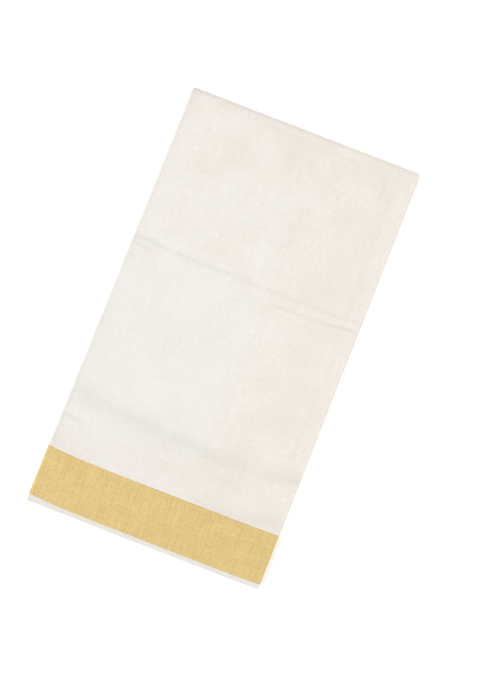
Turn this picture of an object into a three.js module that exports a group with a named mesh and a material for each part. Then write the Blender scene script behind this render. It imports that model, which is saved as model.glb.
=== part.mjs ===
// A plain cotton saree with one woven gold border, folded flat into an oblong pack.
//
// The saree is folded in half four times along its length, which makes a bundle of sixteen
// layers, and the bundle is then folded once in half across its width. The pack has thirty-two
// layers: a round fold at one short end, and both selvedges with their gold borders at the other.
//
// Millimetres. +Y runs from the selvedge end to the round fold, +X is to the right, +Z is up.
// The origin is on the surface that the pack lies on, under the middle of its bounding box.

import * as THREE from "three";

const { lerp } = THREE.MathUtils;

// Driving dimensions ----------------------------------------------------------------------

const LAYERS = 32;
const LAYER_PITCH = 0.36; // one layer of cotton and the air that it traps
const PACK_LENGTH = 588;
const WALL = 1.2; // each stretch of cloth that shows
const GAP = 0.3; // between neighbouring pieces

// The long sides, as distances from x = 0: they stand a little further apart at the selvedge end.
const LEFT_SIDE = { atSelvedge: 164.8, atFold: 156 };
const RIGHT_SIDE = { atSelvedge: 162.7, atFold: 165.3 };

// The border's two edges sweep towards the round fold near the long sides.
const BORDER_WIDTH = 69;
const SELVEDGE_WIDTH = 6.3;
const LEFT_SWEEP = { rise: 4.4, reach: 30 };
const RIGHT_SWEEP = { rise: 1.2, reach: 26 };

// How far the side folds reach in from the outline before the cloth lies flat.
const LEFT_ROUND = 3.2;
const RIGHT_ROUND = 1.8;

// The pack is thickest by its folds.
const FOLD_SWELL = { rise: 0.9, reach: 45 };
const SIDE_SWELL = { rise: 0.45, reach: 16 };

// The largest creases that cross the top. Each follows the points of its own line.
const CREASES = [
  {
    name: "storage crease",
    depth: 0.5,
    reach: 3,
    line: [
      { x: -160, y: 85.5 },
      { x: -40, y: 81 },
      { x: 165, y: 78 },
    ],
  },
  {
    name: "soft trough",
    depth: 1.1,
    reach: 17,
    line: [
      { x: -160, y: -132 },
      { x: -33, y: -143 },
      { x: 67, y: -153 },
      { x: 160, y: -136 },
    ],
  },
];

// The folds whose edges show on the right side, as shares of the height from the pack's middle
// to the hidden layers' top. The inset is how far each stops short of the outline.
const RIGHT_FOLDS = [
  { fold: "two free ends", from: 0, to: 0.17, inset: 1.1 },
  { fold: "fold of two layers", from: 0.17, to: 0.34, inset: 0.6 },
  { fold: "fold of four layers", from: 0.34, to: 0.6, inset: 0.3 },
];
const LAYER_GROOVE = 0.8; // depth of the grooves between the hidden layers' selvedges

// Where the meshes have their points -------------------------------------------------------

const LEFT_FOLD_STEPS = 6;
const RIGHT_FOLD_STEPS = 5;
const TURN_STEPS = 8;
const FLAT_SHARES = [0, 0.025, 0.06, 0.12, 0.2, 0.3, 0.4, 0.5, 0.6, 0.7, 0.8, 0.88, 0.94, 0.975, 1];
const HIDDEN_SHARES = [0, 0.06, 0.2, 0.4, 0.6, 0.8, 0.94, 1];
const FIELD_STATIONS = [
  -205, -190, -178, -168, -160, -152, -144, -136, -128, -120, -110, -95, -70, -35, 0, 35, 60, 70, 74,
  77, 80, 83, 86, 90, 96, 110, 150, 200, 240, 265,
];
const HIDDEN_STATIONS = [
  -280, -220, -190, -172, -160, -148, -136, -124, -110, -90, -40, 40, 65, 74, 77, 80, 83, 86, 90, 98,
  150, 230,
];
const HIDDEN_ROUND_SHARES = [0.17, 0.34, 0.47, 0.6, 0.8, 1];
const HIDDEN_LEVELS = [0, 0.04, 0.085, 0.13, 0.17, 0.21, 0.255, 0.3, 0.34, 0.39, 0.47, 0.55, 0.6, 0.75, 0.9, 1];

// Lengths that follow from the driving dimensions -------------------------------------------

const SELVEDGE_END = -PACK_LENGTH / 2;
const FOLD_END = PACK_LENGTH / 2;
const TURN_RADIUS = (LAYERS * LAYER_PITCH + FOLD_SWELL.rise) / 2;
const TURN_Y = FOLD_END - TURN_RADIUS; // the axis that the bundle turns round
const RIGHT_GROOVE = RIGHT_ROUND + GAP;

// Shape of the pack --------------------------------------------------------------------------

function lengthShare(y) {
  return (y - SELVEDGE_END) / PACK_LENGTH;
}

function leftEdge(y) {
  return -lerp(LEFT_SIDE.atSelvedge, LEFT_SIDE.atFold, lengthShare(y));
}

function rightEdge(y) {
  return lerp(RIGHT_SIDE.atSelvedge, RIGHT_SIDE.atFold, lengthShare(y));
}

// How far the border and the selvedge are drawn towards the round fold at a place across the top.
function borderSweep(x) {
  const fromLeft = x + LEFT_SIDE.atSelvedge;
  const fromRight = RIGHT_SIDE.atSelvedge - x;
  return (
    LEFT_SWEEP.rise * Math.exp(-fromLeft / LEFT_SWEEP.reach) +
    RIGHT_SWEEP.rise * Math.exp(-fromRight / RIGHT_SWEEP.reach)
  );
}

// The place along the pack of a crease's line at a place across it.
function lineAt(line, x) {
  const next = line.findIndex((point) => point.x > x);
  if (next === 0) return line[0].y;
  if (next < 0) return line[line.length - 1].y;
  const [a, b] = [line[next - 1], line[next]];
  return lerp(a.y, b.y, (x - a.x) / (b.x - a.x));
}

function creaseDepth(x, y) {
  let depth = 0;
  for (const crease of CREASES) {
    const away = (y - lineAt(crease.line, x)) / crease.reach;
    depth += crease.depth * Math.exp(-away * away);
  }
  return depth;
}

// Half the pack's thickness, which is also the height of its middle.
function halfThickness(x, y) {
  const fromSide = Math.min(x - leftEdge(y) - LEFT_ROUND, rightEdge(y) - RIGHT_ROUND - x);
  const swell =
    FOLD_SWELL.rise * Math.exp(-(TURN_Y - y) / FOLD_SWELL.reach) +
    SIDE_SWELL.rise * Math.exp(-Math.max(fromSide, 0) / SIDE_SWELL.reach);
  return (LAYERS * LAYER_PITCH + swell - creaseDepth(x, y)) / 2;
}

// A point of the bundle's section, at a depth under its outer face. across runs from -1 to 0
// round the left fold, from 0 to 1 over the flat of the bundle, and from 1 to 2 round the right
// fold. The left fold holds the whole bundle and the right one its outer half. height is counted
// from the pack's middle.
function section(across, y, depth) {
  const left = leftEdge(y) + LEFT_ROUND;
  const right = rightEdge(y) - RIGHT_ROUND;
  if (across < 0) {
    const middle = halfThickness(left, y);
    const radius = (middle - GAP) / 2;
    const angle = (across + 0.5) * Math.PI;
    return {
      x: left - (LEFT_ROUND - depth) * Math.cos(angle),
      height: middle - radius + (radius - depth) * Math.sin(angle),
      middle,
    };
  }
  if (across > 1) {
    const middle = halfThickness(right, y);
    const radius = middle / 4;
    const angle = (1.5 - across) * Math.PI;
    return {
      x: right + (RIGHT_ROUND - depth) * Math.cos(angle),
      height: middle - radius + (radius - depth) * Math.sin(angle),
      middle,
    };
  }
  const x = lerp(left, right, across);
  const middle = halfThickness(x, y);
  return { x, height: middle - depth, middle };
}

// A row of points runs across the pack at along(x). turn is 0 on top, 1 underneath, and between
// them where the bundle turns over at the round fold.
function place(across, row, depth) {
  const y = row.along(section(across, row.along(0), depth).x);
  const { x, height, middle } = section(across, y, depth);
  const angle = row.turn * Math.PI;
  return [x, y + height * Math.sin(angle), middle + height * Math.cos(angle)];
}

// Builders -----------------------------------------------------------------------------------

// Moves each point of a divided unit box to where its own column, row and level put it.
function mappedBox(columns, rows, levels, toPlace) {
  const box = new THREE.BoxGeometry(1, 1, 1, columns.length - 1, rows.length - 1, levels.length - 1);
  const points = box.getAttribute("position");
  const pick = (list, along) => list[Math.round((along + 0.5) * (list.length - 1))];
  for (let i = 0; i < points.count; i++) {
    const column = pick(columns, points.getX(i));
    const row = pick(rows, points.getY(i));
    const level = pick(levels, points.getZ(i));
    points.setXYZ(i, ...toPlace(column, row, level));
  }
  box.computeVertexNormals();
  return box;
}

const COLUMNS = [
  ...Array.from({ length: LEFT_FOLD_STEPS }, (_, i) => i / LEFT_FOLD_STEPS - 1),
  ...FLAT_SHARES,
  ...Array.from({ length: RIGHT_FOLD_STEPS }, (_, i) => 1 + (i + 1) / RIGHT_FOLD_STEPS),
];

// A stretch of the outer cloth, one wall thick, between rows of points.
function stretch(rows) {
  return mappedBox(COLUMNS, rows, [WALL, 0], place);
}

// Rows go from the selvedge end to the round fold on top, and back again underneath.
function rowsBetween(from, to, steps, turn) {
  return Array.from({ length: steps + 1 }, (_, i) => ({
    along: (x) => lerp(from(x), to(x), i / steps),
    turn,
  }));
}

function rowsOnTop(from, to, steps) {
  return rowsBetween(from, to, steps, 0);
}

function rowsUnderneath(from, to, steps) {
  return rowsBetween(to, from, steps, 1);
}

// The edges of the selvedge, the border and the field, from the selvedge end inwards.
const selvedgeEdge = (x) => SELVEDGE_END + borderSweep(x);
const borderFoot = (x) => selvedgeEdge(x) + SELVEDGE_WIDTH;
const borderHead = (x) => borderFoot(x) + BORDER_WIDTH;
const fieldFoot = (x) => borderHead(x) + GAP;

function topFieldRows() {
  const between = FIELD_STATIONS.map((y) => ({ along: () => y, turn: 0 }));
  return [{ along: fieldFoot, turn: 0 }, ...between, { along: fieldHead, turn: 0 }];
}

function turnRows() {
  return Array.from({ length: TURN_STEPS + 1 }, (_, i) => ({
    along: () => TURN_Y,
    turn: i / TURN_STEPS,
  }));
}

// How far the hidden layers stop short of the outline on the left, where they fill the outer
// cloth's two folds and stop at the ends that it tucks in between them.
function hiddenLeftInset(height, middle) {
  const radius = (middle - GAP) / 2 - WALL - GAP;
  const away = (height - (middle + GAP) / 2) / radius;
  if (away < -1) return LEFT_ROUND + GAP;
  return LEFT_ROUND - (LEFT_ROUND - WALL - GAP) * Math.sqrt(Math.max(1 - away * away, 0));
}

// The same on the right, where each of the smaller folds shows as a rounded ridge.
function hiddenRightInset(share) {
  const found = RIGHT_FOLDS.find((fold) => share >= fold.from && share <= fold.to);
  if (!found) return RIGHT_GROOVE;
  const across = (share - found.from) / (found.to - found.from);
  return lerp(RIGHT_GROOVE, found.inset, Math.sqrt(Math.max(Math.sin(across * Math.PI), 0)));
}

// A point of the hidden layers. past is how far a row lies round the turn, from 0 to 1. level
// holds the height from the pack's middle, from -1 to 1, and whether a groove lies there.
function placeHidden(share, row, level) {
  const nominal = section(share, row.y, 0);
  const top = nominal.middle - WALL - GAP;
  const rise = level.height * top;
  const y = row.y + row.past * Math.sqrt(Math.max(top * top - rise * rise, 0));
  const fromAxis = Math.hypot(y - row.y, rise);
  const left = leftEdge(row.y) + hiddenLeftInset(fromAxis, nominal.middle);
  const right = rightEdge(row.y) - hiddenRightInset(fromAxis / top);
  const groove = row.atSelvedge && level.groove ? LAYER_GROOVE : 0;
  return [lerp(left, right, share), y + groove, nominal.middle + rise];
}

function hiddenLevels() {
  const upper = HIDDEN_LEVELS.map((height, i) => ({ height, groove: i % 2 === 0 }));
  const lower = upper.slice(1).map((level) => ({ ...level, height: -level.height }));
  return [...lower.reverse(), ...upper];
}

function hiddenRows() {
  const start = { y: SELVEDGE_END + GAP, past: 0, atSelvedge: true };
  const straight = [...HIDDEN_STATIONS, TURN_Y].map((y) => ({ y, past: 0 }));
  const round = HIDDEN_ROUND_SHARES.map((past) => ({ y: TURN_Y, past }));
  return [start, ...straight, ...round];
}

// Materials ----------------------------------------------------------------------------------

const cotton = new THREE.MeshStandardMaterial({ color: 0xf1ebe5, roughness: 0.92, metalness: 0 });
const goldWeave = new THREE.MeshStandardMaterial({ color: 0xe4c889, roughness: 0.6, metalness: 0.15 });
const selvedgeCotton = new THREE.MeshStandardMaterial({ color: 0xeee6d8, roughness: 0.9, metalness: 0 });

// The pack -----------------------------------------------------------------------------------

const saree = new THREE.Group();

function add(name, geometry, material) {
  const mesh = new THREE.Mesh(geometry, material);
  mesh.name = name;
  saree.add(mesh);
}

const selvedgeHead = (x) => borderFoot(x) - GAP;
const fieldHead = () => TURN_Y - GAP;

add("top_selvedge", stretch(rowsOnTop(selvedgeEdge, selvedgeHead, 1)), selvedgeCotton);
add("top_border", stretch(rowsOnTop(borderFoot, borderHead, 5)), goldWeave);
add("top_field", stretch(topFieldRows()), cotton);
add("turn", stretch(turnRows()), cotton);
add("under_field", stretch(rowsUnderneath(fieldFoot, fieldHead, 4)), cotton);
add("under_border", stretch(rowsUnderneath(borderFoot, borderHead, 2)), goldWeave);
add("under_selvedge", stretch(rowsUnderneath(selvedgeEdge, selvedgeHead, 1)), selvedgeCotton);
add("inner_layers", mappedBox(HIDDEN_SHARES, hiddenRows(), hiddenLevels(), placeHidden), cotton);

// The origin goes under the middle of the bounding box.
const bounds = new THREE.Box3().setFromObject(saree, true);
const centre = bounds.getCenter(new THREE.Vector3());
saree.position.set(-centre.x, -centre.y, -bounds.min.z);

export default saree;
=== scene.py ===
"""A plain cotton saree with one woven gold border, folded flat into an oblong pack.

The saree is folded in half four times along its length and then once across its width, so the
pack has thirty-two layers, a round fold at one short end and its selvedges at the other. Each
stretch of cloth is a grid that is laid through those folds, then given the cloth's thickness.

The frame holds the sizes in metres. Shapes are worked out here in millimetres.
"""
import math

import bmesh
import bpy
from bpy.props import FloatProperty, FloatVectorProperty, PointerProperty
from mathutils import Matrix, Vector, noise


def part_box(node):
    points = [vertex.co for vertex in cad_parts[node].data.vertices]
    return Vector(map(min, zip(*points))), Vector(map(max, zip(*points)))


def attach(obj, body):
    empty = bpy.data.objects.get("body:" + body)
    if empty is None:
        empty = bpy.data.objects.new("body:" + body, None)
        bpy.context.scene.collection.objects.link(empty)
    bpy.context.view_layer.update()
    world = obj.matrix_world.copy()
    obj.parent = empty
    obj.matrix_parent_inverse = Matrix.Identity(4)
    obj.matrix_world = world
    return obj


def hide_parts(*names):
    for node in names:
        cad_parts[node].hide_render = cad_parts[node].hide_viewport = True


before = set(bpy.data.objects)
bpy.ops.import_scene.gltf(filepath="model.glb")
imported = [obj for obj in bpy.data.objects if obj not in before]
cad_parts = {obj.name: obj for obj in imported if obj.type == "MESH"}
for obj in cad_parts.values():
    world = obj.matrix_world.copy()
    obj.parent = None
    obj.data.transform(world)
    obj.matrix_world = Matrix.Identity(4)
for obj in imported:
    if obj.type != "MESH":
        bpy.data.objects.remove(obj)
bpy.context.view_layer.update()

bl_info = {
    "name": "Folded cotton saree",
    "version": (1, 0, 0),
    "blender": (4, 5, 0),
    "location": "3D View > Sidebar > Saree",
    "description": "Lays a plain cotton saree with a gold border through its folds",
    "category": "Add Mesh",
}

MM = 0.001

# The pack's outline, in millimetres, as the frame's solids have it
PACK_LENGTH = 588.0
SELVEDGE_END = -PACK_LENGTH / 2
FOLD_END = PACK_LENGTH / 2
LEFT_AT_SELVEDGE, LEFT_AT_FOLD = 164.8, 156.0
RIGHT_AT_SELVEDGE, RIGHT_AT_FOLD = 162.7, 165.3
LEFT_ROUND, RIGHT_ROUND = 3.2, 1.8
LEFT_SWEEP, LEFT_SWEEP_REACH = 4.4, 30.0
RIGHT_SWEEP, RIGHT_SWEEP_REACH = 1.2, 26.0
FOLD_SWELL, FOLD_SWELL_REACH = 0.9, 45.0
SIDE_SWELL, SIDE_SWELL_REACH = 0.45, 16.0

# How the bundle's sixteen layers are stacked. Rank 0 is the outer cloth and rank 15 lies at the
# pack's middle. STRIP lists the ranks in the order in which the cloth runs through them.
BUNDLE = 16
SPACES = 2 * BUNDLE - 1
STRIP = (15, 0, 7, 8, 11, 4, 3, 12, 13, 2, 5, 10, 9, 6, 1, 14)

# The smaller folds that show on the right side: the ranks in each, how far it stops short of the
# outline, and how far its edge wanders. The last two layers end there.
RIGHT_FOLDS = (
    {"ranks": range(0, 8), "inset": 0.0, "wander": 0.0},
    {"ranks": range(8, 12), "inset": 0.9, "wander": 0.7},
    {"ranks": range(12, 14), "inset": 1.7, "wander": 0.9},
    {"ranks": range(14, 15), "inset": 2.2, "wander": 1.6},
    {"ranks": range(15, 16), "inset": 3.0, "wander": 1.4},
)

# Creases that run across the pack. line holds places (x, y) along each, and depth its depth at the
# two ends of that line. Its near side, towards -Y, is as steep as reach's first number and its far
# side as slow as the second. lip is the height of the ridge before it, and fade holds the lengths
# over which its two ends die away.
CREASES_ACROSS = (
    {"name": "storage crease", "depth": (0.9, 0.36), "reach": (3.7, 6.5), "lip": 0.0, "fade": (0, 0),
     "line": ((-160, 87), (-112, 84), (-70, 82.6), (-27, 82.1), (65, 81.5), (105, 82.1),
              (165, 81.8))},
    {"name": "second storage crease", "depth": (0.1, 0.62), "reach": (2.2, 4.6), "lip": 0.08,
     "fade": (50, 0),
     "line": ((5, 62.5), (45, 63.7), (75, 65.1), (109, 66.1), (135, 67.8), (165, 71))},
    {"name": "ridge between the storage creases", "depth": (-0.3, -0.2), "reach": (4.5, 4.0),
     "lip": 0.0, "fade": (25, 0), "line": ((76, 72), (109, 73.5), (165, 76.5))},
    {"name": "short twin crease", "depth": (0.6, 0.4), "reach": (2.2, 7.0), "lip": 0.0,
     "fade": (0, 26), "line": ((-160, 76.6), (-128, 73.8), (-105, 75))},
    {"name": "wide trough on the left", "depth": (0.95, 1.05), "reach": (17.0, 20.0), "lip": 0.0,
     "fade": (0, 42), "line": ((-160, -127), (-97, -139), (-35, -142), (3, -145))},
    {"name": "wide trough on the right", "depth": (1.0, 0.6), "reach": (8.5, 15.5), "lip": 0.0,
     "fade": (50, 0),
     "line": ((-35, -144), (8, -146), (48, -149), (75, -145.5), (100, -146), (165, -136))},
    {"name": "soft trough", "depth": (0.25, 0.65), "reach": (7.0, 10.0), "lip": 0.0, "fade": (20, 15),
     "line": ((-158, -129), (-97, -138), (-60, -139.5), (-18, -142))},
    {"name": "middle of the trough", "depth": (0.35, 0.25), "reach": (7.0, 12.0), "lip": 0.0,
     "fade": (20, 20), "line": ((-10, -144), (20, -145), (58, -148))},
    {"name": "pinch", "depth": (0.5, 0.8), "reach": (4.5, 11.0), "lip": 0.1, "fade": (18, 0),
     "line": ((108, -152), (131, -150), (146, -146), (165, -139))},
    {"name": "rise below the trough", "depth": (-0.2, -0.2), "reach": (12.0, 8.0), "lip": 0.0,
     "fade": (15, 15), "line": ((22, -168), (55, -168), (84, -165))},
    {"name": "hollow below the pinch", "depth": (0.25, 0.25), "reach": (8.0, 8.0), "lip": 0.0,
     "fade": (12, 12), "line": ((82, -168), (105, -166), (126, -163))},
    {"name": "trough above the border", "depth": (0.2, 1.0), "reach": (9.0, 11.0), "lip": 0.0,
     "fade": (40, 0), "line": ((20, -215), (78, -213), (109, -211), (140, -204), (165, -196))},
    {"name": "hollow at the border's head", "depth": (0.3, 0.3), "reach": (5.0, 6.0), "lip": 0.0,
     "fade": (30, 25), "line": ((-30, -218), (10, -218), (40, -217))},
    {"name": "broad hollow on the lower left", "depth": (0.2, 0.15), "reach": (22.0, 22.0),
     "lip": 0.0, "fade": (0, 40), "line": ((-165, -184), (-130, -184), (-80, -184))},
    {"name": "left corner above the border", "depth": (0.5, 0.1), "reach": (8.0, 9.0), "lip": 0.0,
     "fade": (0, 50), "line": ((-165, -200), (-130, -205), (-90, -209))},
    {"name": "small left crease", "depth": (0.9, 0.45), "reach": (2.6, 5.0), "lip": 0.1,
     "fade": (0, 16), "line": ((-165, -166), (-150, -167.5), (-128, -169))},
    {"name": "right dent", "depth": (0.4, 0.4), "reach": (6.0, 6.0), "lip": 0.0,
     "fade": (12, 12), "line": ((62, -171), (79, -174), (96, -177))},
    {"name": "middle dent", "depth": (0.35, 0.35), "reach": (4.0, 6.0), "lip": 0.0,
     "fade": (9, 9), "line": ((-26, -182), (-15, -181), (-4, -180))},
    {"name": "groove before the fold", "depth": (0.45, 0.3), "reach": (5.0, 7.0), "lip": 0.0,
     "fade": (40, 60), "line": ((-95, 285), (-40, 283), (30, 281), (92, 279), (125, 271))},
    {"name": "left edge dent", "depth": (0.3, 0.2), "reach": (5.0, 5.0), "lip": 0.0, "fade": (0, 14),
     "line": ((-160, 23), (-150, 23), (-140, 22))},
    {"name": "flattened left of the fold", "depth": (0.4, 0.2), "reach": (4.0, 4.0), "lip": 0.0,
     "fade": (0, 60), "line": ((-160, 288), (-110, 288), (-20, 288))},
    {"name": "broad hollow below the storage crease", "depth": (0.22, 0.22), "reach": (16.0, 14.0),
     "lip": 0.0, "fade": (40, 40), "line": ((-130, 50), (-76, 52), (-20, 50))},
    {"name": "broad rise above the storage crease", "depth": (-0.22, -0.22), "reach": (16.0, 18.0),
     "lip": 0.0, "fade": (40, 40), "line": ((-90, 124), (-20, 122), (40, 122))},
)

# Creases that run along the pack, listed in the same way with places (y, x). Their near side is the
# one towards -X.
CREASES_ALONG = (
    {"name": "left press line", "depth": (0.2, 0.12), "reach": (2.6, 7.0), "lip": 0.0,
     "fade": (30, 40), "line": ((-178, -33.5), (-130, -35), (-60, -35.5), (2, -36))},
    {"name": "upper press line", "depth": (0.15, 0.2), "reach": (8.0, 9.0), "lip": 0.0,
     "fade": (30, 60), "line": ((85, -45), (150, -46), (210, -45), (260, -44))},
    {"name": "right press line", "depth": (0.25, 0.2), "reach": (3.0, 9.0), "lip": 0.0,
     "fade": (20, 60), "line": ((-136, 42), (-80, 41.4), (60, 40), (190, 38), (250, 38))},
    {"name": "right edge roll", "depth": (0.3, 0.3), "reach": (3.6, 6.0), "lip": 0.1,
     "fade": (20, 30),
     "line": ((-136, 145), (-60, 143.5), (20, 145.5), (90, 144), (170, 142.5), (250, 141.7),
              (285, 139))},
    {"name": "upper right hollow", "depth": (0.2, 0.4), "reach": (12.0, 12.0), "lip": 0.0,
     "fade": (60, 0), "line": ((120, 131), (200, 132), (290, 134))},
    {"name": "upper right pucker", "depth": (0.5, 0.4), "reach": (4.0, 7.0), "lip": 0.05,
     "fade": (10, 22), "line": ((240, 133), (264, 126), (287, 119))},
)
CREASE_GRAIN = 22.0  # the length over which a crease's depth comes and goes
CREASE_DEPTH_SHARE, CREASE_DEPTH_SWING = 0.95, 0.45  # its mean, and how far it comes and goes
CREASE_END = 5.0  # a crease has died away at this many of its reaches
LIP_OFFSET = 2.1  # of a crease's steep reach, from its line to the top of its lip

# Waves of the whole pack: the height and the lengths across and along of each kind
WAVES = ((0.22, 95.0, 95.0), (0.07, 9.0, 60.0), (0.05, 30.0, 14.0))

# Small dimples in the corner of the round fold and the right side: their height and length, and
# the places along and across the pack from which they grow to that height
DIMPLES = {"height": 0.45, "length": 8.0, "along": (160, 270), "across": (-10, 120)}

# The pack's plan is rounded at the two corners of the round fold
LEFT_CORNER, RIGHT_CORNER, CORNER_REACH = 5.0, 3.0, 8.0

# Where the cloth's colour is drawn darker, as if in a crease this deep, or lighter where the number
# is negative: the border's first and last gold threads, which lie closer, the border from its foot to
# its head, painted shade along the left fold and painted light along the right one, each with its
# reach, and the cloth drawn darker along the pack (y, shade). The creases add painted shade by depth.
BORDER_EDGE_SHADE = 1.6
BORDER_SHADE = (0.3, -0.3)
# Painted shade along the left fold and painted light along the right one, each with its reach
LEFT_PAINTED_SHADE, LEFT_PAINTED_SHADE_REACH = 1.3, 2.5
RIGHT_PAINTED_LIGHT, RIGHT_PAINTED_LIGHT_REACH = -1.3, 1.3
# Painted light on the shoulder of the round fold
FOLD_PAINTED_LIGHT = (-0.9, -2.9)  # on the shoulder of the round fold, at its left and its right end
# The cloth drawn darker along the pack, as places (y, shade)
DARKER_ALONG = ((-294, 0.1), (-215, 0.3), (-150, 0.3), (-115, 0.0), (200, 0.0), (265, 0.25), (294, 0.25))

# Painted light: how white the plain cotton is drawn along the pack, whiter where more light falls,
# as places (y, whiteness). It is all cream to the right of CREAM_SPAN's first x, and turns white
# towards the second.
PAINTED_WHITENESS = ((-294, 0.45), (-185, 0.5), (-150, 0.85), (-60, 1.0), (10, 1.0), (70, 0.7), (130, 0.5),
             (200, 0.45), (240, 0.25), (294, 0.25))
CREAM_SPAN = (62, 6)

# How much darker the cloth looks for each millimetre of shade
SHADE_PER_MM = 0.04

# The creases press through to the underside, as this share of their depth, and lift it
UNDER_SHARE = 0.6

# The outer cloth has room to crease from the first to the second of these distances from the long
# sides and from the round fold. The hidden layers lie closer by these shares of their height, over
# the whole pack's inside and in the field.
SIDE_ROOM, FOLD_ROOM = (8, 38), (0, 40)
SINK_INSIDE, SINK_FIELD = 0.03, 0.13

# How far the selvedge underneath and the hidden ones are drawn back, how far those wander, and how
# often they swing over a panel
UNDER_DRAWN = 0.6
HIDDEN_DRAWN, HIDDEN_WANDER, HIDDEN_SWINGS = 0.9, 1.1, 0.9

# How far each smaller left fold stops short of the one round it, at most. It takes a mean share of
# that, swings about the mean by another, and does so over a length along the pack.
FOLD_SLACK = 0.24
SLACK_SHARE, SLACK_SWING, SLACK_GRAIN = 0.6, 0.4, 60

# The length over which the edges of the smaller right folds wander
RIGHT_GRAIN = 70

# The rows of points: the step between the field's rows underneath and in the hidden layers, and
# the closer step by the storage creases, which lie between the two places of CLOSE_ROWS
UNDER_STEPS = (12, 4)
HIDDEN_STEPS = (11, 4)
CLOSE_ROWS = (56, 94)
TURN_ROWS = 16
BORDER_ROWS = {"top": 30, "under": 8, "hidden": 7}
SELVEDGE_ROWS = {"outer": 3, "hidden": 2}
EDGE_THREADS = 0.018  # the border's first and last threads, as a share of its width

# Where the picture's middle lies, and where the key light comes from, in metres
PICTURE_MIDDLE = (20.2 * MM, 2.9 * MM)
KEY_PLACE = (-1.3, -1.4, 1.5)


def linear(hex_colour):
    """An sRGB hex colour as the linear numbers that Blender works in."""
    parts = [int(hex_colour[i:i + 2], 16) / 255 for i in (1, 3, 5)]
    return tuple(c / 12.92 if c <= 0.04045 else ((c + 0.055) / 1.055) ** 2.4 for c in parts)


# Settings ------------------------------------------------------------------------------------

class SareeClothSettings(bpy.types.PropertyGroup):
    """Sizes of the cloth and of its folds."""
    thickness: FloatProperty(
        name="Cloth thickness", description="Thickness of one layer of the cotton",
        default=0.28 * MM, min=0.05 * MM, max=1 * MM, unit="LENGTH", precision=5)
    pitch: FloatProperty(
        name="Layer pitch", description="Height of one layer in the pack, with the air under it",
        default=0.36 * MM, min=0.1 * MM, max=2 * MM, unit="LENGTH", precision=5)
    border_width: FloatProperty(
        name="Border width", description="Width of the woven gold border",
        default=69 * MM, min=10 * MM, max=150 * MM, unit="LENGTH")
    selvedge_width: FloatProperty(
        name="Selvedge width", description="Width of the cream selvedge beyond the border",
        default=6.3 * MM, min=2 * MM, max=20 * MM, unit="LENGTH")
    crease_strength: FloatProperty(
        name="Crease strength", description="Depth of every crease, as a share of its own depth",
        default=1.0, min=0.0, max=3.0, subtype="FACTOR")
    mesh_step: FloatProperty(
        name="Mesh step", description="Distance between the points of the cloth that shows",
        default=2.5 * MM, min=1 * MM, max=10 * MM, unit="LENGTH")


class SareeFinishSettings(bpy.types.PropertyGroup):
    """Colours and threads of the cloth."""
    cotton: FloatVectorProperty(
        name="Cotton", description="Colour of the whitest of the plain cotton",
        default=linear("#E9E6E1"), size=3, min=0.0, max=1.0, subtype="COLOR")
    cream: FloatVectorProperty(
        name="Cream", description="Colour of the plain cotton where it is creamier",
        default=linear("#E8E1D9"), size=3, min=0.0, max=1.0, subtype="COLOR")
    gold: FloatVectorProperty(
        name="Gold", description="Colour of the border's gold thread",
        default=linear("#E2C88B"), size=3, min=0.0, max=1.0, subtype="COLOR")
    gold_shade: FloatVectorProperty(
        name="Gold shade", description="Colour of the cotton weft between the gold threads",
        default=linear("#D7B976"), size=3, min=0.0, max=1.0, subtype="COLOR")
    selvedge: FloatVectorProperty(
        name="Selvedge", description="Colour of the cream selvedge",
        default=linear("#E3DFD8"), size=3, min=0.0, max=1.0, subtype="COLOR")
    thread_spacing: FloatProperty(
        name="Thread spacing", description="Distance between neighbouring cotton threads",
        default=0.45 * MM, min=0.1 * MM, max=3 * MM, unit="LENGTH", precision=5)


class SareeStageSettings(bpy.types.PropertyGroup):
    """Floor, light and camera."""
    floor: FloatVectorProperty(
        name="Floor", description="Colour of the plain floor",
        default=linear("#FAFAFA"), size=3, min=0.0, max=1.0, subtype="COLOR")
    camera_turn: FloatProperty(
        name="Camera turn", description="How far the picture is turned about the vertical",
        default=math.radians(21.15), subtype="ANGLE", unit="ROTATION")
    camera_lens: FloatProperty(
        name="Focal length", description="Focal length of the camera, in millimetres",
        default=70.0, min=20.0, max=200.0)
    picture_height: FloatProperty(
        name="Picture height", description="Length that the picture takes in from top to bottom",
        default=895.8 * MM, min=0.1, max=5.0, unit="LENGTH")
    key_strength: FloatProperty(
        name="Key light", description="Strength of the large soft light from the pack's near left",
        default=1.65, min=0.0, max=20.0)
    sky: FloatProperty(
        name="Ceiling", description="Strength of the even white light from above",
        default=0.74, min=0.0, max=5.0)
    walls: FloatProperty(
        name="Walls", description="Strength of the even white light from the sides",
        default=1.02, min=0.0, max=5.0)
    floor_glow: FloatProperty(
        name="Floor glow", description="How far the lit floor shines by itself",
        default=0.3, min=0.0, max=2.0)


# The pack's shape ------------------------------------------------------------------------------

def smooth(share):
    """A share that leaves 0 and reaches 1 softly."""
    share = min(max(share, 0.0), 1.0)
    return share * share * (3 - 2 * share)


def lerp(low, high, share):
    """The value at a share of the way from low to high."""
    return low + (high - low) * share


def grow(span, at):
    """From 0 at the start of a span to 1 at its end."""
    return smooth((at - span[0]) / (span[1] - span[0]))


def curve_at(line, at):
    """The second number of a smooth curve through pairs, where the first number is at."""
    at = min(max(at, line[0][0]), line[-1][0])
    right = next(i for i in range(1, len(line)) if at <= line[i][0])
    (x0, y0), (x1, y1) = line[right - 1], line[right]
    before = line[max(right - 2, 0)]
    after = line[min(right + 1, len(line) - 1)]
    slope0 = (y1 - before[1]) / (x1 - before[0])
    slope1 = (after[1] - y0) / (after[0] - x0)
    span = x1 - x0
    t = (at - x0) / span
    return (
        y0 * (1 + 2 * t) * (1 - t) ** 2 + y1 * t * t * (3 - 2 * t)
        + span * (slope0 * t * (1 - t) ** 2 - slope1 * t * t * (1 - t))
    )


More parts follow.
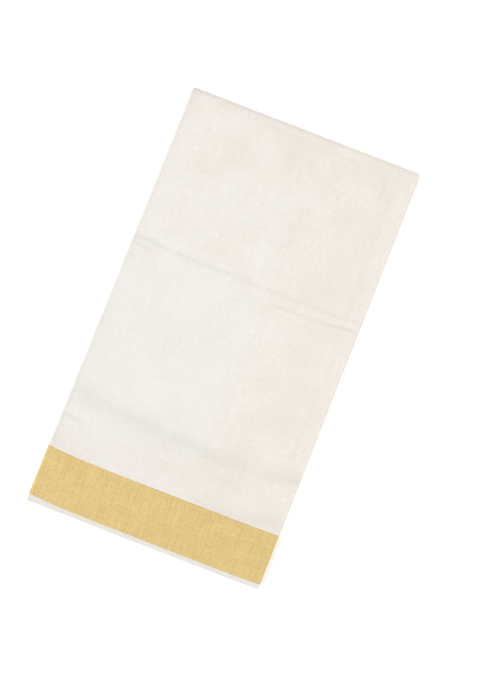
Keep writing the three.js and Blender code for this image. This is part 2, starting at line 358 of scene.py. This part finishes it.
def crease_drop(crease, at, off):
    """How far a crease lowers the cloth at a place along it and off its own axis."""
    steep, slow = crease["reach"]
    off -= curve_at(crease["line"], at)
    away = off / (steep if off < 0 else slow)
    if abs(away) > CREASE_END:
        return 0.0
    start, end = crease["line"][0][0], crease["line"][-1][0]
    live = 1.0
    if crease["fade"][0]:
        live *= smooth((at - start) / crease["fade"][0])
    if crease["fade"][1]:
        live *= smooth((end - at) / crease["fade"][1])
    if live <= 0:
        return 0.0
    uneven = noise.noise(Vector((at / CREASE_GRAIN, steep + slow, start)))
    uneven = CREASE_DEPTH_SHARE + CREASE_DEPTH_SWING * uneven
    depth = lerp(*crease["depth"], min(max((at - start) / (end - start), 0.0), 1.0))
    lip_away = off / steep + LIP_OFFSET
    return live * uneven * (
        depth * math.exp(-away * away) - crease["lip"] * math.exp(-lip_away * lip_away))


class Pack:
    """The folded pack: where each layer of the cloth lies, in millimetres.

    Each kind of unevenness reads the noise at a place of its own, so that no two swing together.
    """

    def __init__(self, cloth):
        self.cloth = cloth.thickness / MM
        self.height = 2 * BUNDLE * cloth.pitch / MM
        self.border = cloth.border_width / MM
        self.selvedge = cloth.selvedge_width / MM
        self.strength = cloth.crease_strength
        self.step = cloth.mesh_step / MM
        self.turn_y = FOLD_END - (self.height + FOLD_SWELL) / 2
        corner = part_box("top_selvedge")[0] / MM
        self.shift_x = corner.x - self.left_edge(SELVEDGE_END + LEFT_SWEEP)
        self.shift_y = corner.y - SELVEDGE_END

    def left_edge(self, y):
        """The outline's x on the left."""
        return -lerp(LEFT_AT_SELVEDGE, LEFT_AT_FOLD, (y - SELVEDGE_END) / PACK_LENGTH)

    def right_edge(self, y):
        """The outline's x on the right."""
        return lerp(RIGHT_AT_SELVEDGE, RIGHT_AT_FOLD, (y - SELVEDGE_END) / PACK_LENGTH)

    def sweep(self, x):
        """How far the top layer's selvedge is drawn back towards the round fold."""
        return (
            LEFT_SWEEP * math.exp(-(x + LEFT_AT_SELVEDGE) / LEFT_SWEEP_REACH)
            + RIGHT_SWEEP * math.exp((x - RIGHT_AT_SELVEDGE) / RIGHT_SWEEP_REACH)
        )

    def creases(self, x, y):
        """How far the creases lower the top at a place."""
        deep = sum(crease_drop(crease, x, y) for crease in CREASES_ACROSS)
        deep += sum(crease_drop(crease, y, x) for crease in CREASES_ALONG)
        return self.strength * deep

    def waves(self, x, y):
        """How far the pack's waves and its dimples lower the top at a place."""
        length = DIMPLES["length"]
        dimple = DIMPLES["height"] * noise.noise(Vector((x / length, y / length, 3.3)))
        return grow(DIMPLES["along"], y) * grow(DIMPLES["across"], x) * dimple + sum(
            height * noise.noise(Vector((x / across, y / along, height * 20)))
            for height, across, along in WAVES
        )

    def painted_whiteness(self, x, y):
        """How white the cotton is drawn at a place: painted light, whiter where more light falls."""
        return grow(CREAM_SPAN, x) * curve_at(PAINTED_WHITENESS, y)

    def painted_side_shading(self, x, y):
        """Painted shade along the left fold and painted light along the right one."""
        from_left = x - self.left_edge(y) - LEFT_ROUND
        from_right = self.right_edge(y) - RIGHT_ROUND - x
        return (
            LEFT_PAINTED_SHADE * math.exp(min(-from_left / LEFT_PAINTED_SHADE_REACH, 0))
            + RIGHT_PAINTED_LIGHT * math.exp(min(-from_right / RIGHT_PAINTED_LIGHT_REACH, 0))
        )

    def thickness(self, x, y):
        """The pack's thickness at a place."""
        from_side = min(x - self.left_edge(y) - LEFT_ROUND, self.right_edge(y) - RIGHT_ROUND - x)
        swell = FOLD_SWELL * math.exp((y - self.turn_y) / FOLD_SWELL_REACH)
        swell += SIDE_SWELL * math.exp(-max(from_side, 0) / SIDE_SWELL_REACH)
        return self.height + swell - self.creases(x, y) - self.waves(x, y)

    def from_middle(self, rank, thickness):
        """The height of a layer's centre over the pack's middle."""
        return (thickness - self.cloth) * (0.5 - rank / SPACES)

    def inside(self, x, y):
        """From 0 at the long sides to 1 well inside them."""
        return grow(SIDE_ROOM, min(x - self.left_edge(y), self.right_edge(y) - x))

    def room(self, x, y):
        """From 0 at the pack's edges to 1 in the field, where the outer cloth has room to crease."""
        in_field = smooth((y - SELVEDGE_END - self.selvedge) / self.border)
        return self.inside(x, y) * in_field * grow(FOLD_ROOM, self.turn_y - y)

    def sink(self, rank, x, y):
        """Hidden layers lie a little closer away from the edges, so no crease cuts into them."""
        if rank == 0:
            return 1.0
        return 1 - SINK_INSIDE * self.inside(x, y) - SINK_FIELD * self.room(x, y)

    def section(self, rank, across, y):
        """A point of a layer's section: its x, its height from the middle, the middle's height, and
        how far along the layer it lies.

        across runs from -1 to 0 round the left fold, 0 to 1 over the flat, 1 to 2 round the right.
        """
        left = self.left_edge(y) + LEFT_ROUND
        folds_round = min(rank, BUNDLE - 1 - rank)
        swing = noise.noise(Vector((folds_round * 0.4, y / SLACK_GRAIN, 5.5)))
        left += FOLD_SLACK * (SLACK_SHARE + SLACK_SWING * swing) * folds_round / 2
        if across < 0:
            thick = self.thickness(left, y)
            own, partner = self.from_middle(rank, thick), self.from_middle(BUNDLE - 1 - rank, thick)
            round_x = (LEFT_ROUND - self.cloth / 2) * abs(own - partner) / (2 * self.left_radius(thick))
            angle = (across + 0.5) * math.pi
            x = left - round_x * math.cos(angle)
            up = (own + partner) / 2 + (own - partner) / 2 * math.sin(angle)
            return x, up, thick / 2, left + across * math.pi * round_x
        fold = next(f for f in RIGHT_FOLDS if rank in f["ranks"])
        ranks = fold["ranks"]
        thick = self.thickness(self.right_edge(y) - RIGHT_ROUND, y)
        own, partner = (self.from_middle(r, thick) for r in (rank, ranks[0] + ranks[-1] - rank))
        outermost = abs(self.from_middle(ranks[0], thick) - self.from_middle(ranks[-1], thick)) / 2
        stretch_x = (RIGHT_ROUND - self.cloth / 2) / self.right_radius(thick)
        wander = fold["wander"] * noise.noise(Vector((ranks[0], y / RIGHT_GRAIN, 2.5)))
        outline = self.right_edge(y) - fold["inset"] - abs(wander) - self.cloth / 2
        right = outline - outermost * stretch_x
        if across > 1:
            angle = (1.5 - across) * math.pi
            round_x = abs(own - partner) / 2 * stretch_x
            up = (own + partner) / 2 + (own - partner) / 2 * math.sin(angle)
            run = right + (across - 1) * math.pi * round_x
            return right + round_x * math.cos(angle), up, thick / 2, run
        x = lerp(left, right, across)
        thick = self.thickness(x, y)
        return x, self.from_middle(rank, thick) * self.sink(rank, x, y), thick / 2, x

    def left_radius(self, thickness):
        """Half the height of the fold that goes round all sixteen layers."""
        return (self.from_middle(0, thickness) - self.from_middle(BUNDLE - 1, thickness)) / 2

    def right_radius(self, thickness):
        """Half the height of the largest fold on the right, which goes round eight layers."""
        return (self.from_middle(0, thickness) - self.from_middle(BUNDLE // 2 - 1, thickness)) / 2

    def edge_y(self, rank, x, upper):
        """Where a layer's selvedge ends. Only the outer cloth and what joins it is drawn back."""
        if rank == 0 or rank == BUNDLE - 1:
            return SELVEDGE_END + (self.sweep(x) if upper else UNDER_DRAWN)
        along = STRIP.index(rank) + (0.5 + x / (2 * LEFT_AT_SELVEDGE)) * (-1) ** STRIP.index(rank)
        wander = noise.noise(Vector((along * HIDDEN_SWINGS, 4.2 if upper else 8.6, 1.1)))
        return SELVEDGE_END + HIDDEN_DRAWN + HIDDEN_WANDER * wander

    def point(self, column, row):
        """A point of the cloth in the row frame, and its place in the flat cloth, in metres."""
        rank, across = column
        x = self.section(rank, across, row["near"])[0]
        foot = self.edge_y(rank, x, row["upper"])
        stops = {
            "selvedge": (foot, foot + self.selvedge),
            "border": (foot + self.selvedge, foot + self.selvedge + self.border),
            "field": (foot + self.selvedge + self.border, self.turn_y),
            "turn": (self.turn_y, self.turn_y),
        }
        y = lerp(*stops[row["zone"]], row["share"])
        x, up, middle, run = self.section(rank, across, y)
        angle = row["turn"] * math.pi
        place = Vector((x, y + up * math.sin(angle), middle + up * math.cos(angle)))
        near_left = math.exp((self.left_edge(y) - x) / CORNER_REACH)
        near_right = math.exp((x - self.right_edge(y)) / CORNER_REACH)
        place.x += self.corner(place.y, LEFT_CORNER) * near_left
        place.x -= self.corner(place.y, RIGHT_CORNER) * near_right
        place = (place + Vector((self.shift_x, self.shift_y, 0))) * MM
        panel = STRIP.index(rank)
        run_x = panel * 2 * LEFT_AT_SELVEDGE - run * (-1) ** panel
        run_y = angle * self.height / 2 + (y - self.turn_y) * (1 if row["upper"] else -1)
        creased = self.creases(x, y)
        if row["turn"] == 1 and rank == 0:
            place.z += max(creased, 0) * UNDER_SHARE * self.room(x, y) * MM
        # Painted shade and light in the colour: darker in the creases by their depth, painted shade and
        # light along the long folds, and darker along the pack
        shade = creased + self.painted_side_shading(x, y) + curve_at(DARKER_ALONG, y)
        # Painted light on the shoulder of the round fold
        shoulder = max(math.sin(2 * angle), 0)
        shade += shoulder * lerp(*FOLD_PAINTED_LIGHT, 0.5 + x / (LEFT_AT_FOLD + RIGHT_AT_FOLD))
        if row["zone"] == "border":
            shade += lerp(*BORDER_SHADE, row["share"])
            shade += BORDER_EDGE_SHADE if row["share"] in (0, 1) else 0
        return place, Vector((run_x, run_y, 0)) * MM, self.painted_whiteness(x, y), shade

    def corner(self, y, radius):
        """How far a corner of the round fold draws the pack's side in."""
        past = min(max(y - (FOLD_END - radius), 0), radius)
        return radius - math.sqrt(radius * radius - past * past)

    def rows(self, zone, steps, upper=True, shares=None):
        """Rows of points through a zone, in the order in which the cloth runs from the top's edge."""
        shares = shares or [i / steps for i in range(steps + 1)]
        foot = SELVEDGE_END + self.selvedge + self.border
        start, end = {
            "selvedge": (SELVEDGE_END, SELVEDGE_END),
            "border": (foot, foot),
            "field": (foot, self.turn_y),
        }[zone]
        turn = 0 if upper else 1
        made = [
            {"zone": zone, "share": at, "upper": upper, "turn": turn, "near": lerp(start, end, at)}
            for at in shares
        ]
        return made if upper else made[::-1]

    def turn_rows(self, steps):
        """Rows between the top and the underside, without the two that those already have."""
        return [
            {"zone": "turn", "share": 0, "upper": i < steps / 2, "turn": i / steps, "near": self.turn_y}
            for i in range(1, steps)
        ]

    def field_shares(self, step, close_step):
        """Shares of the field's length that lie a step apart, and closer by the storage creases."""
        foot = SELVEDGE_END + self.selvedge + self.border
        places, y = [], foot
        while y < self.turn_y - step / 2:
            places.append((y - foot) / (self.turn_y - foot))
            y += close_step if CLOSE_ROWS[0] < y < CLOSE_ROWS[1] else step
        return [*places, 1.0]

    def field_rows(self, top_steps, under_steps):
        """Rows from the top border over the turn to the border underneath."""
        top = self.rows("field", 0, shares=self.field_shares(*top_steps))
        under = self.rows("field", 0, upper=False, shares=self.field_shares(*under_steps))
        return [*top, *self.turn_rows(TURN_ROWS), *under]


# Building ------------------------------------------------------------------------------------

def saree_pack():
    """The pack that the panel's settings give."""
    return Pack(bpy.context.scene.saree_cloth)


# Where the columns of a hidden layer lie, as shares of its flat, and how many its folds have. The
# outer cloth reaches round its folds and over the last SEAM of these before the hidden cloth goes on.
HIDDEN_FLAT = (0, 0.012, 0.03, 0.06, 0.13, 0.3, 0.5, 0.7, 0.87, 0.94, 0.97, 0.988, 1)
HIDDEN_TURN = 6
SEAM = 2


def outer_columns(pack):
    """The outer cloth: its panel, the folds on both sides of it and a little of the next layers."""
    flat = round((LEFT_AT_SELVEDGE + RIGHT_AT_SELVEDGE) / pack.step)
    around_left, around_right = 14, 10
    places = [i / around_left - 1 for i in range(around_left)]
    places += [i / flat for i in range(flat)]
    places += [1 + i / around_right for i in range(around_right + 1)]
    before = [(STRIP[0], share) for share in HIDDEN_FLAT[SEAM:0:-1]]
    after = [(STRIP[2], share) for share in HIDDEN_FLAT[-2:-2 - SEAM:-1]]
    return [*before, *((0, place) for place in places), *after]


def hidden_fold(rank, following, on_left):
    """Columns that take a hidden layer round a fold and into the layer that follows it."""
    shares = [i / HIDDEN_TURN / 2 for i in range(1, HIDDEN_TURN + 1)]
    places = [-share if on_left else 1 + share for share in shares]
    return [(rank, place) for place in places] + [(following, place) for place in places[-2::-1]]


def hidden_strips():
    """The rest of the cloth as strips of columns: the panel that ends the saree at the middle of the
    pack, and the fourteen that run on from the outer cloth's right fold."""
    first = [(STRIP[0], share) for share in HIDDEN_FLAT[SEAM:]]
    rest, leftwards = [], True
    for rank, following in zip(STRIP[2:], (*STRIP[3:], None)):
        flat = [(rank, share) for share in HIDDEN_FLAT]
        rest += flat[::-1] if leftwards else flat
        if following is not None:
            rest += hidden_fold(rank, following, leftwards)
        leftwards = not leftwards
    return [first, rest[SEAM:]]


def build_cloth(name, patches, finish, replaced):
    """One piece of cloth from patches, each a list of columns and a list of rows."""
    pack = saree_pack()
    mesh = bmesh.new()
    cloth_place = mesh.verts.layers.float_vector.new("cloth")
    painted_whiteness = mesh.verts.layers.float.new("painted_whiteness")
    shade = mesh.verts.layers.float.new("shade")
    for columns, rows in patches:
        across, along = len(columns) - 1, len(rows) - 1
        made = bmesh.ops.create_grid(mesh, x_segments=across, y_segments=along, size=0.5)
        for vert in made["verts"]:
            column = columns[round((vert.co.x + 0.5) * across)]
            row = rows[round((vert.co.y + 0.5) * along)]
            vert.co, vert[cloth_place], vert[painted_whiteness], vert[shade] = pack.point(column, row)
    for face in mesh.faces:
        face.smooth = True
    for edge in mesh.edges:
        edge.smooth = not edge.is_boundary
    data = bpy.data.meshes.new(name)
    mesh.to_mesh(data)
    mesh.free()
    data.materials.append(finish)
    piece = bpy.data.objects.new(name, data)
    bpy.context.scene.collection.objects.link(piece)
    wall = piece.modifiers.new("Cloth thickness", "SOLIDIFY")
    wall.thickness = pack.cloth * MM
    wall.offset = 0
    wall.use_rim = True
    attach(piece, "root")
    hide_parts(*replaced)
    return piece


def run_length(pack, columns, rows):
    """The length in metres of the cloth along a run of columns and rows."""
    points = [pack.point(column, row)[0] for column in columns for row in rows]
    return sum((b - a).length for a, b in zip(points, points[1:]))


# Finishes ------------------------------------------------------------------------------------

def add_node(tree, kind, sockets=(), **settings):
    """Adds a node. sockets gives each input a value or the output that it is linked to."""
    made = tree.nodes.new(kind)
    for name, value in settings.items():
        setattr(made, name, value)
    for name, value in dict(sockets).items():
        if isinstance(value, bpy.types.NodeSocket):
            tree.links.new(value, made.inputs[name])
        else:
            made.inputs[name].default_value = value
    return made


def new_material(name):
    """A material with its shader, and the cloth's own place in metres for its patterns."""
    material = bpy.data.materials.new(name)
    material.use_nodes = True
    tree = material.node_tree
    shader = tree.nodes["Principled BSDF"]
    place = add_node(tree, "ShaderNodeAttribute", attribute_name="cloth").outputs["Vector"]
    return material, tree, shader, place


def stretched_noise(tree, place, width_mm, length_mm, along_x):
    """Noise whose grains are width_mm wide and length_mm long, for the uneven yarn of one direction."""
    per_m = (1000 / length_mm, 1000 / width_mm) if along_x else (1000 / width_mm, 1000 / length_mm)
    scaled = add_node(tree, "ShaderNodeMapping", {"Vector": place, "Scale": (*per_m, 1.0)})
    grain = add_node(tree, "ShaderNodeTexNoise", {
        "Vector": scaled.outputs["Vector"], "Scale": 1.0, "Detail": 2.0, "Roughness": 0.55})
    return grain.outputs["Fac"]


def blend_colours(tree, factor, low, high):
    """A colour between two, by a factor from 0 to 1."""
    mixed = add_node(tree, "ShaderNodeMix", {
        "Factor": factor, 6: (*low, 1.0), 7: (*high, 1.0)}, data_type="RGBA")
    return mixed.outputs[2]


def maths(tree, operation, first, second):
    """One sum on two values or sockets."""
    return add_node(tree, "ShaderNodeMath", {0: first, 1: second}, operation=operation).outputs[0]


def plain_weave(tree, place, spacing):
    """The over and under of a plain weave, as a height from -1 to 1."""
    split = add_node(tree, "ShaderNodeSeparateXYZ", {"Vector": place})
    turns = math.pi / spacing
    warp = maths(tree, "SINE", maths(tree, "MULTIPLY", split.outputs["X"], turns), 0.0)
    weft = maths(tree, "SINE", maths(tree, "MULTIPLY", split.outputs["Y"], turns), 0.0)
    return maths(tree, "MULTIPLY", warp, weft)


def raise_surface(tree, shader, height, distance_mm):
    """Raises the threads from the surface, in shading alone."""
    bump = add_node(tree, "ShaderNodeBump", {"Height": height, "Distance": distance_mm * MM})
    tree.links.new(bump.outputs["Normal"], shader.inputs["Normal"])


def attribute(tree, name):
    """A number that the cloth's points carry."""
    return add_node(tree, "ShaderNodeAttribute", attribute_name=name).outputs["Fac"]


def centred(tree, value, amount):
    """Noise about its own middle, times an amount."""
    return maths(tree, "MULTIPLY", maths(tree, "SUBTRACT", value, 0.5), amount)


def total(tree, values):
    """The sum of any number of sockets."""
    whole = values[0]
    for value in values[1:]:
        whole = maths(tree, "ADD", whole, value)
    return whole


def shaded(tree, colour, brightness):
    """A colour times a brightness, less what the points' shade takes: painted shade and light, and the
    border's closer edge threads.
    """
    hollow = maths(tree, "MULTIPLY", attribute(tree, "shade"), -SHADE_PER_MM)
    scaled = add_node(tree, "ShaderNodeVectorMath", {
        "Vector": colour, "Scale": maths(tree, "ADD", brightness, hollow)}, operation="SCALE")
    return scaled.outputs[0]


# Sizes of the patterns in the cloth, in millimetres: patches and clouds, flecks, and the width and
# length of the streaks that uneven yarn leaves along the weft and the warp. One thread is too fine
# to show from the camera's distance, so a streak is drawn three or four threads wide.
COTTON_PATCH, COTTON_FLECK = 70, 6
COTTON_WEFT, COTTON_WARP = (1.8, 60), (1.8, 70)
GOLD_CLOUD, GOLD_FLECK = 16, 3.5
GOLD_WEFT, GOLD_WARP = (2.0, 50), (1.4, 40)

# How strongly the cotton's patterns change its whiteness and its brightness, and how strongly the
# gold's change the mix of its two colours and its brightness
PATCH_WHITE, FLECK_WHITE = 2.2, 1.2
YARN_LIGHT, FLECK_LIGHT, PATCH_LIGHT = 0.06, 0.12, 0.09
WEFT_MIX, WARP_MIX, FLECK_MIX = 2.2, 1.6, 2.2
CLOUD_LIGHT = 0.18

# The height of each cloth's relief in millimetres, and the share of the weave in it
COTTON_RELIEF, COTTON_WEAVE = 0.12, 0.25
GOLD_RELIEF, GOLD_WEAVE = 0.1, 0.4


def woven_cotton(name, colour, cream, spacing):
    """Plain-woven cotton: matte, with the streaks of uneven yarn both ways and a soft nap."""
    material, tree, shader, place = new_material(name)
    patches = add_node(tree, "ShaderNodeTexNoise", {
        "Vector": place, "Scale": 1000 / COTTON_PATCH, "Detail": 4.0, "Roughness": 0.65}).outputs["Fac"]
    flecks = add_node(tree, "ShaderNodeTexNoise", {
        "Vector": place, "Scale": 1000 / COTTON_FLECK, "Detail": 3.0, "Roughness": 0.7}).outputs["Fac"]
    weft_yarn = stretched_noise(tree, place, *COTTON_WEFT, along_x=False)
    warp_yarn = stretched_noise(tree, place, *COTTON_WARP, along_x=True)
    yarn = total(tree, [centred(tree, weft_yarn, 1.0), centred(tree, warp_yarn, 0.75)])
    # The painted light's whiteness that the points carry, with random patches and flecks of tone
    white = total(tree, [
        attribute(tree, "painted_whiteness"), centred(tree, patches, PATCH_WHITE),
        centred(tree, flecks, FLECK_WHITE)])
    mixed = blend_colours(tree, white, cream, colour)
    uneven = total(tree, [
        maths(tree, "MULTIPLY", yarn, YARN_LIGHT), centred(tree, flecks, FLECK_LIGHT),
        centred(tree, patches, PATCH_LIGHT)])
    base = shaded(tree, mixed, maths(tree, "ADD", uneven, 1.0))
    tree.links.new(base, shader.inputs["Base Color"])
    weave = maths(tree, "MULTIPLY", plain_weave(tree, place, spacing), COTTON_WEAVE)
    raise_surface(tree, shader, maths(tree, "ADD", weave, yarn), COTTON_RELIEF)
    shader.inputs["Roughness"].default_value = 0.92
    shader.inputs["Specular IOR Level"].default_value = 0.25
    shader.inputs["Sheen Weight"].default_value = 0.12
    shader.inputs["Sheen Roughness"].default_value = 0.5
    return material


def woven_gold(name, colour, shade, spacing):
    """Gold-coloured metal thread on a cotton ground: satin, with flecks and streaks across it."""
    material, tree, shader, place = new_material(name)
    weft = stretched_noise(tree, place, *GOLD_WEFT, along_x=False)
    warp = stretched_noise(tree, place, *GOLD_WARP, along_x=True)
    fleck = add_node(tree, "ShaderNodeTexNoise", {
        "Vector": place, "Scale": 1000 / GOLD_FLECK, "Detail": 2.0, "Roughness": 0.7}).outputs["Fac"]
    cloud = add_node(tree, "ShaderNodeTexNoise", {
        "Vector": place, "Scale": 1000 / GOLD_CLOUD, "Detail": 2.0, "Roughness": 0.5}).outputs["Fac"]
    thread = total(tree, [
        centred(tree, weft, WEFT_MIX), centred(tree, warp, WARP_MIX), centred(tree, fleck, FLECK_MIX)])
    mixed = blend_colours(tree, maths(tree, "ADD", thread, 0.5), shade, colour)
    brightness = maths(tree, "ADD", centred(tree, cloud, CLOUD_LIGHT), 1.0)
    tree.links.new(shaded(tree, mixed, brightness), shader.inputs["Base Color"])
    weave = maths(tree, "MULTIPLY", plain_weave(tree, place, spacing), GOLD_WEAVE)
    raise_surface(tree, shader, maths(tree, "ADD", weave, thread), GOLD_RELIEF)
    shader.inputs["Metallic"].default_value = 0.25
    shader.inputs["Roughness"].default_value = 0.5
    return material


def cotton_finish():
    """The plain cotton, made once and shared."""
    finish = bpy.context.scene.saree_finish
    return bpy.data.materials.get("plain_woven_cotton") or woven_cotton(
        "plain_woven_cotton", finish.cotton, finish.cream, finish.thread_spacing)


def gold_finish():
    """The gold border, made once and shared."""
    finish = bpy.context.scene.saree_finish
    return bpy.data.materials.get("woven_gold_thread") or woven_gold(
        "woven_gold_thread", finish.gold, finish.gold_shade, finish.thread_spacing)


def selvedge_finish():
    """The denser cotton of the selvedge, made once and shared."""
    finish = bpy.context.scene.saree_finish
    return bpy.data.materials.get("dense_selvedge_cotton") or woven_cotton(
        "dense_selvedge_cotton", finish.selvedge, finish.selvedge, finish.thread_spacing)


# Operators -----------------------------------------------------------------------------------

class SAREE_OT_plain_cloth(bpy.types.Operator):
    """Lays the plain cotton that shows, over the top, round the fold and underneath"""
    bl_idname = "saree.plain_cloth"
    bl_label = "Plain cloth"

    def execute(self, context):
        pack = saree_pack()
        columns = outer_columns(pack)
        rows = pack.field_rows((pack.step, pack.step / 2), UNDER_STEPS)
        piece = build_cloth(
            "plain_cloth", [(columns, rows)], cotton_finish(),
            ["top_field", "turn", "under_field"])
        middle_row = rows[len(rows) // 3]
        flat = (run_length(pack, columns, [middle_row]), run_length(pack, [(0, 0.5)], rows))
        return {"FINISHED"}


class SAREE_OT_borders(bpy.types.Operator):
    """Lays the gold border on top and the one underneath, with the selvedges beyond them"""
    bl_idname = "saree.borders"
    bl_label = "Gold borders and selvedges"

    def execute(self, context):
        pack = saree_pack()
        columns = outer_columns(pack)
        width = run_length(pack, columns, [pack.rows("border", 2)[1]])
        for place, upper in (("top", True), ("under", False)):
            steps = BORDER_ROWS[place]
            inner = [i / steps for i in range(1, steps)]
            shares = [0, EDGE_THREADS, *inner, 1 - EDGE_THREADS, 1]
            border = build_cloth(
                place + "_gold_border", [(columns, pack.rows("border", steps, upper, shares))],
                gold_finish(), [place + "_border"])
            selvedge = build_cloth(
                place + "_cream_selvedge",
                [(columns, pack.rows("selvedge", SELVEDGE_ROWS["outer"], upper))],
                selvedge_finish(), [place + "_selvedge"])
        return {"FINISHED"}


class SAREE_OT_hidden_layers(bpy.types.Operator):
    """Lays the rest of the saree through its folds, so that real layers show at every edge"""
    bl_idname = "saree.hidden_layers"
    bl_label = "Hidden layers"

    def execute(self, context):
        pack = saree_pack()
        strips = hidden_strips()
        rows = pack.field_rows(HIDDEN_STEPS, HIDDEN_STEPS)
        field = build_cloth(
            "hidden_plain_cloth", [(strip, rows) for strip in strips], cotton_finish(),
            ["inner_layers"])
        across = sum(run_length(pack, strip, [rows[len(rows) // 4]]) for strip in strips)
        along = run_length(pack, [(BUNDLE // 2, 0.5)], rows)
        for place, upper in (("top", True), ("under", False)):
            border_rows = pack.rows("border", BORDER_ROWS["hidden"], upper)
            border = build_cloth(
                "hidden_" + place + "_border", [(strip, border_rows) for strip in strips],
                gold_finish(), ["inner_layers"])
            selvedge_rows = pack.rows("selvedge", SELVEDGE_ROWS["hidden"], upper)
            selvedge = build_cloth(
                "hidden_" + place + "_selvedge", [(strip, selvedge_rows) for strip in strips],
                selvedge_finish(), ["inner_layers"])
        return {"FINISHED"}


class SAREE_OT_stage(bpy.types.Operator):
    """Sets the floor, the soft light and the camera straight above the pack"""
    bl_idname = "saree.stage"
    bl_label = "Stage"

    def execute(self, context):
        stage = context.scene.saree_stage
        self.add_floor(stage)
        self.add_light(stage)
        self.add_camera(stage)
        context.scene.view_settings.view_transform = "Standard"
        return {"FINISHED"}

    def add_floor(self, stage):
        """A wide matte floor, a hair under the pack. It glows, as a studio's light table does."""
        mesh = bmesh.new()
        bmesh.ops.create_grid(mesh, x_segments=1, y_segments=1, size=15.0)
        bmesh.ops.translate(mesh, verts=mesh.verts, vec=(0, 0, -0.2 * MM))
        data = bpy.data.meshes.new("studio_floor")
        mesh.to_mesh(data)
        mesh.free()
        floor = bpy.data.objects.new("studio_floor", data)
        bpy.context.scene.collection.objects.link(floor)
        material, tree, shader, _ = new_material("matte_white_board")
        shader.inputs["Base Color"].default_value = (*stage.floor, 1.0)
        shader.inputs["Roughness"].default_value = 1.0
        shader.inputs["Specular IOR Level"].default_value = 0.0
        shader.inputs["Emission Color"].default_value = (1.0, 1.0, 1.0, 1.0)
        shader.inputs["Emission Strength"].default_value = stage.floor_glow
        data.materials.append(material)

    def add_light(self, stage):
        """A wide soft light from the pack's near left, in a white room with brighter walls."""
        key = bpy.data.lights.new("key", "SUN")
        key.angle = math.radians(30)
        key.energy = stage.key_strength
        lamp = bpy.data.objects.new("key", key)
        bpy.context.scene.collection.objects.link(lamp)
        lamp.location = KEY_PLACE
        lamp.rotation_euler = (-lamp.location).to_track_quat("-Z", "Y").to_euler()
        world = bpy.data.worlds.new("white_studio")
        world.use_nodes = True
        tree = world.node_tree
        direction = add_node(tree, "ShaderNodeTexCoord").outputs["Generated"]
        height = add_node(tree, "ShaderNodeSeparateXYZ", {"Vector": direction}).outputs["Z"]
        strength = add_node(tree, "ShaderNodeMapRange", {
            "Value": height, "From Min": 0.0, "From Max": 0.6, "To Min": stage.walls,
            "To Max": stage.sky}).outputs["Result"]
        background = tree.nodes["Background"]
        background.inputs["Color"].default_value = (1.0, 1.0, 1.0, 1.0)
        tree.links.new(strength, background.inputs["Strength"])
        bpy.context.scene.world = world

    def add_camera(self, stage):
        """Straight above, turned so that the round fold lies at the upper right."""
        lens = bpy.data.cameras.new("camera")
        lens.lens = stage.camera_lens
        lens.sensor_width = 36.0
        camera = bpy.data.objects.new("camera", lens)
        bpy.context.scene.collection.objects.link(camera)
        top = saree_pack().height * MM
        distance = stage.picture_height * lens.lens / lens.sensor_width
        camera.location = (*PICTURE_MIDDLE, top + distance)
        camera.rotation_euler = (0, 0, stage.camera_turn)
        bpy.context.scene.camera = camera


class SAREE_PT_panel(bpy.types.Panel):
    """Lists the pieces of the saree and the settings that they read"""
    bl_label = "Folded saree"
    bl_idname = "SAREE_PT_panel"
    bl_space_type = "VIEW_3D"
    bl_region_type = "UI"
    bl_category = "Saree"

    def draw(self, context):
        for operator in OPERATORS:
            self.layout.operator(operator.bl_idname)
        for _, name in SETTINGS:
            group = getattr(context.scene, name)
            box = self.layout.box()
            for setting in group.__annotations__:
                box.prop(group, setting)


OPERATORS = (SAREE_OT_plain_cloth, SAREE_OT_borders, SAREE_OT_hidden_layers, SAREE_OT_stage)
SETTINGS = (
    (SareeClothSettings, "saree_cloth"),
    (SareeFinishSettings, "saree_finish"),
    (SareeStageSettings, "saree_stage"),
)


def register():
    for group, name in SETTINGS:
        bpy.utils.register_class(group)
        setattr(bpy.types.Scene, name, PointerProperty(type=group))
    for operator in OPERATORS:
        bpy.utils.register_class(operator)
    bpy.utils.register_class(SAREE_PT_panel)


def unregister():
    bpy.utils.unregister_class(SAREE_PT_panel)
    for operator in reversed(OPERATORS):
        bpy.utils.unregister_class(operator)
    for group, name in reversed(SETTINGS):
        delattr(bpy.types.Scene, name)
        bpy.utils.unregister_class(group)


def main():
    """Lays the saree and sets its stage."""
    register()
    bpy.ops.saree.plain_cloth()
    bpy.ops.saree.borders()
    bpy.ops.saree.hidden_layers()
    bpy.ops.saree.stage()


if __name__ == "__main__":
    main()
